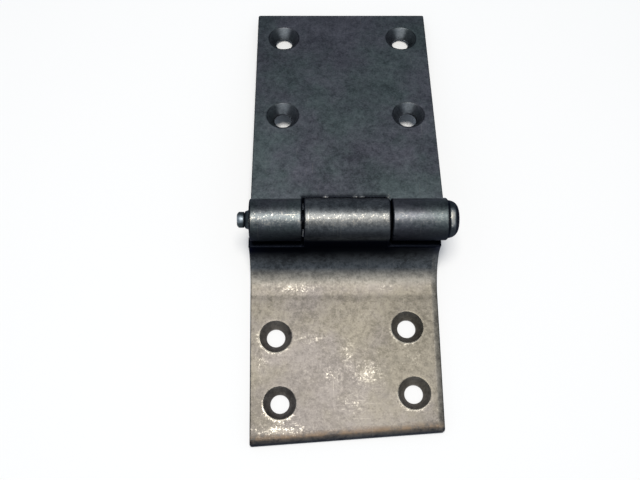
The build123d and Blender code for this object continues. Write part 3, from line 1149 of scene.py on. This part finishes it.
def hinge_pin(size, finish):
    """The pin, from its bevelled nose past the groove and the flare to its domed head."""
    high = size.barrel_length / 2
    low, tip, top = -high, pin_low.x, high + size.head_height
    groove = tip + size.nose_length
    profile = pin_profile(size, low, high, tip, top, groove)
    made = mesh_object("turned_pin", [(radius, 0.0, height) for radius, height in profile])
    made_by(
        made,
        "turned pin",
        profile_points=len(profile),
        ring_points=size.ring_points,
        place=(0.0, AXIS_Y * MM, AXIS_Z * MM),
        # The pin's bare steel is made much lighter for its painted highlight.
        material=steel("pin steel", finish, finish.pin_scale, 1.0, UPPER_TINTS, 2.4, False),
    )
    finish_mesh(made)
    points = points_of(made)
    outside = (points[:, 0] > high + 0.5) | (points[:, 0] < low - 0.5)
    axis = np.array((AXIS_Y, AXIS_Z))
    dents = 1 - outside * swells(points, 3.0, 8, 0.012)
    points[:, 1:] = axis + (points[:, 1:] - axis) * dents[:, None]
    made.data.vertices.foreach_set("co", (points * MM).astype(np.float32).ravel())

    x = points[:, 0]
    # Painted highlight on the tops of the head and of the nose, where the light falls.
    on_top = fading(np.abs(round_pin(points) - 106), 16, 40)
    head_highlight = on_top * band(x, high + 0.7, high + 1.1, high + 2.6, high + 3.2)
    nose_end = fading(x, groove - 0.6, groove - 0.1)
    rims = np.maximum(fading(np.abs(x - tip), 0.2, 1.2), smooth(x, top - 3.4, top - 0.6))
    ends = smooth(x, high + 3.0, high + 3.6) + fading(x, high + 0.5, high + 0.9)
    flare = 1 - 0.35 * smooth(x, groove + 0.6, groove + 1.8)
    # Painted shade on the head's sides, end and joint with the knuckle, in the groove and on the flare, on
    # the nose's sides, and on the shank seen between the knuckles.
    dark = [
        (x > high - 0.5) * np.maximum(ends * 0.93, 0.75 * (1 - on_top)),
        smooth(x, groove - 0.4, groove) * flare * (x < low) * 0.95,
        (x < groove) * 0.6 * (1 - on_top),
        ((x > low + 0.3) & (x < high - 0.3)) * 0.95,
    ]
    write_layer(made.data, "edge", rims * 0.15)
    write_layer(made.data, "rubbed_and_highlight", head_highlight)
    write_layer(made.data, "soot_and_shade", np.maximum.reduce(dark))
    write_layer(made.data, "flaked_and_sheen", np.maximum(nose_end * on_top * 1.3, head_highlight))
    made.data.update()
    return made


class HINGE_OT_upper_leaf(bpy.types.Operator):
    """Builds the long leaf with its two rolled knuckles"""

    bl_idname = "hinge.upper_leaf"
    bl_label = "Upper leaf"

    def execute(self, context):
        made = upper_leaf(sizes_in_mm(), context.scene.hinge_finish)
        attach(made, "upper_side")
        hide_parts("upper_leaf")
        return {"FINISHED"}


class HINGE_OT_lower_leaf(bpy.types.Operator):
    """Builds the cranked leaf with its one rolled knuckle"""

    bl_idname = "hinge.lower_leaf"
    bl_label = "Lower leaf"

    def execute(self, context):
        made = lower_leaf(sizes_in_mm(), context.scene.hinge_finish)
        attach(made, "lower_side")
        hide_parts("lower_leaf")
        return {"FINISHED"}


class HINGE_OT_pin(bpy.types.Operator):
    """Turns the pin with its domed head, its groove and its nose"""

    bl_idname = "hinge.pin"
    bl_label = "Hinge pin"

    def execute(self, context):
        made = hinge_pin(sizes_in_mm(), context.scene.hinge_finish)
        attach(made, "upper_side")
        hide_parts("hinge_pin")
        return {"FINISHED"}


def place_camera(stage):
    """The camera at the angle from which the hinge is looked at."""
    lens = bpy.data.cameras.new("camera")
    lens.lens = stage.lens
    lens.sensor_width = 36.0
    lens.clip_start, lens.clip_end = 0.01, 50.0
    camera = bpy.data.objects.new("camera", lens)
    pitch, yaw, roll = stage.camera_pitch, stage.camera_yaw, stage.camera_roll
    ahead, across = Vector((0, sin(pitch), -cos(pitch))), Vector((1, 0, 0))
    rise = Vector((0, cos(pitch), sin(pitch)))
    forward = ahead * cos(yaw) + across * sin(yaw)
    level = across * cos(yaw) - ahead * sin(yaw)
    right = level * cos(roll) + rise * sin(roll)
    up = rise * cos(roll) - level * sin(roll)
    turned_by = Matrix((right, up, -forward)).transposed().to_4x4()
    camera.matrix_world = Matrix.Translation(stage.camera_place) @ turned_by
    bpy.context.scene.collection.objects.link(camera)
    bpy.context.scene.camera = camera


def light_room(stage):
    """One warm lamp overhead in a pale, cooler room that is darker near its horizon."""
    lamp = bpy.data.lights.new("key", "AREA")
    lamp.shape = "DISK"
    lamp.size = stage.key_size
    lamp.energy = stage.key_power
    lamp.color = (1.0, 0.95, 0.87)
    key = bpy.data.objects.new("key", lamp)
    key.location = (-0.03, 0.01, 1.05)
    bpy.context.scene.collection.objects.link(key)

    world = bpy.data.worlds.new("room")
    bpy.context.scene.world = world
    paint = Paint(world)
    height = paint.node("ShaderNodeSeparateXYZ", inputs={0: paint.node("ShaderNodeTexCoord")}, output=2)
    horizon = paint.mix(paint.seen(), shade((0.12, 0.12, 0.12)), shade((0.72, 0.73, 0.74)))
    room = shade((0.87, 1.0, 1.15), stage.room_level)
    tint = paint.mix(paint.step(height, 0.0, 0.22), horizon, room)
    sky = paint.node("ShaderNodeBackground", inputs={"Color": tint, "Strength": 1.0})
    paint.node("ShaderNodeOutputWorld", inputs={0: sky})


class HINGE_OT_stage(bpy.types.Operator):
    """Sets up the pale floor, the lamp and the camera"""

    bl_idname = "hinge.stage"
    bl_label = "Stage"

    def execute(self, context):
        corners = ((-1, -1), (1, -1), (1, 1), (-1, 1))
        square = [(x * FLOOR_REACH, y * FLOOR_REACH, -FLOOR_DROP) for x, y in corners]
        floor = mesh_object("floor", square, [(0, 1, 2, 3)])
        floor.data.materials.append(floor_material())
        light_room(context.scene.hinge_stage)
        place_camera(context.scene.hinge_stage)
        context.scene.view_settings.view_transform = "Standard"
        return {"FINISHED"}


groups = {"hinge_sizes": HingeSizes, "hinge_finish": HingeFinish, "hinge_stage": HingeStage}
operators = (HINGE_OT_upper_leaf, HINGE_OT_lower_leaf, HINGE_OT_pin, HINGE_OT_stage)


class HINGE_PT_panel(bpy.types.Panel):
    """Lists the hinge's pieces and sizes"""

    bl_label = "Cranked hinge"
    bl_idname = "HINGE_PT_panel"
    bl_space_type = "VIEW_3D"
    bl_region_type = "UI"
    bl_category = "Hinge"

    def draw(self, context):
        for operator in operators:
            self.layout.operator(operator.bl_idname)
        for name, group in groups.items():
            for key in group.__annotations__:
                self.layout.prop(getattr(context.scene, name), key)


def register():
    for item in (*groups.values(), *operators, HINGE_PT_panel):
        bpy.utils.register_class(item)
    for name, group in groups.items():
        setattr(bpy.types.Scene, name, PointerProperty(type=group))


def unregister():
    for name in groups:
        delattr(bpy.types.Scene, name)
    for item in (HINGE_PT_panel, *reversed(operators), *reversed(groups.values())):
        bpy.utils.unregister_class(item)


def main():
    register()
    turned_tree()
    countersunk_tree()
    pin_tree()
    bpy.ops.hinge.upper_leaf()
    bpy.ops.hinge.lower_leaf()
    bpy.ops.hinge.pin()
    bpy.ops.hinge.stage()


if __name__ == "__main__":
    main()
